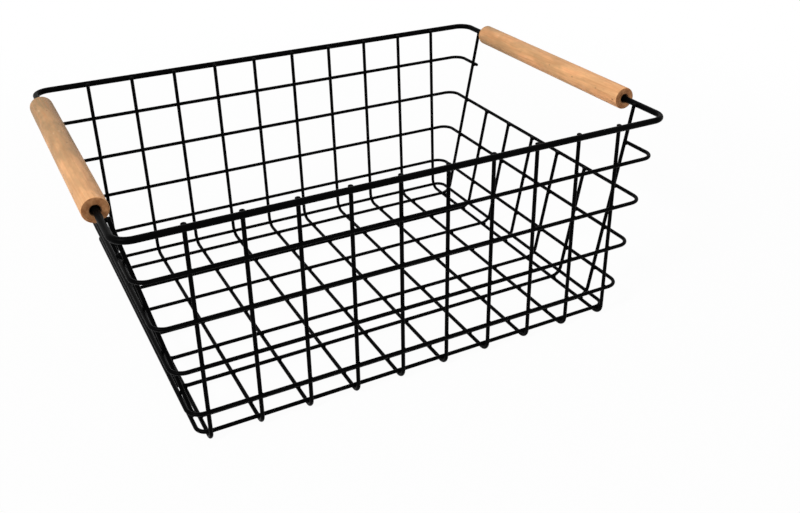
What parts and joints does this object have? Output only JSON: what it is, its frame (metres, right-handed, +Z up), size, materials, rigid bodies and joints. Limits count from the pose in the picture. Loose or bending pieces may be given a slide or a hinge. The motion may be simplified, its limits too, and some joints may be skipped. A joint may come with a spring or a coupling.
{
  "type": "wire organizer basket",
  "caption": "Rectangular open wire storage basket with flared end walls and a wooden carrying handle turning on each end of its rim.",
  "frame": {"origin": "middle of the footprint, on the surface that the basket stands on", "axes": "+X along the basket, between the two handles; +Y towards the back wall; +Z up, out of the open top"},
  "size_m": [0.2526, 0.1798, 0.1038],
  "materials": {
    "coated_wire": "semi-gloss black powder coat on steel wire",
    "handle_wood": "light beech dowel with a thin clear finish"
  },
  "bodies": {
    "basket": {"rim": "coated_wire", "ring_1_front": "coated_wire", "ring_1_back": "coated_wire", "ring_2": "coated_wire", "ring_3": "coated_wire", "ring_4": "coated_wire", "base_ring": "coated_wire", "cross_wire_01": "coated_wire", "cross_wire_02": "coated_wire", "cross_wire_03": "coated_wire", "cross_wire_04": "coated_wire", "cross_wire_05": "coated_wire", "cross_wire_06": "coated_wire", "cross_wire_07": "coated_wire", "cross_wire_08": "coated_wire", "cross_wire_09": "coated_wire", "cross_wire_10": "coated_wire", "long_wire_1": "coated_wire", "long_wire_2": "coated_wire", "long_wire_3": "coated_wire", "long_wire_4": "coated_wire", "long_wire_5": "coated_wire", "long_wire_6": "coated_wire", "long_wire_7": "coated_wire"},
    "handle_left": {"handle_left": "handle_wood"},
    "handle_right": {"handle_right": "handle_wood"}
  },
  "joints": [
    {"name": "handle_left_spin", "type": "hinge", "parent": "basket", "child": "handle_left", "pos_m": [-0.1211, 0, 0.0986], "axis": [0, 1, 0], "continuous": true},
    {"name": "handle_right_spin", "type": "hinge", "parent": "basket", "child": "handle_right", "pos_m": [0.1211, 0, 0.0986], "axis": [0, 1, 0], "continuous": true}
  ]
}
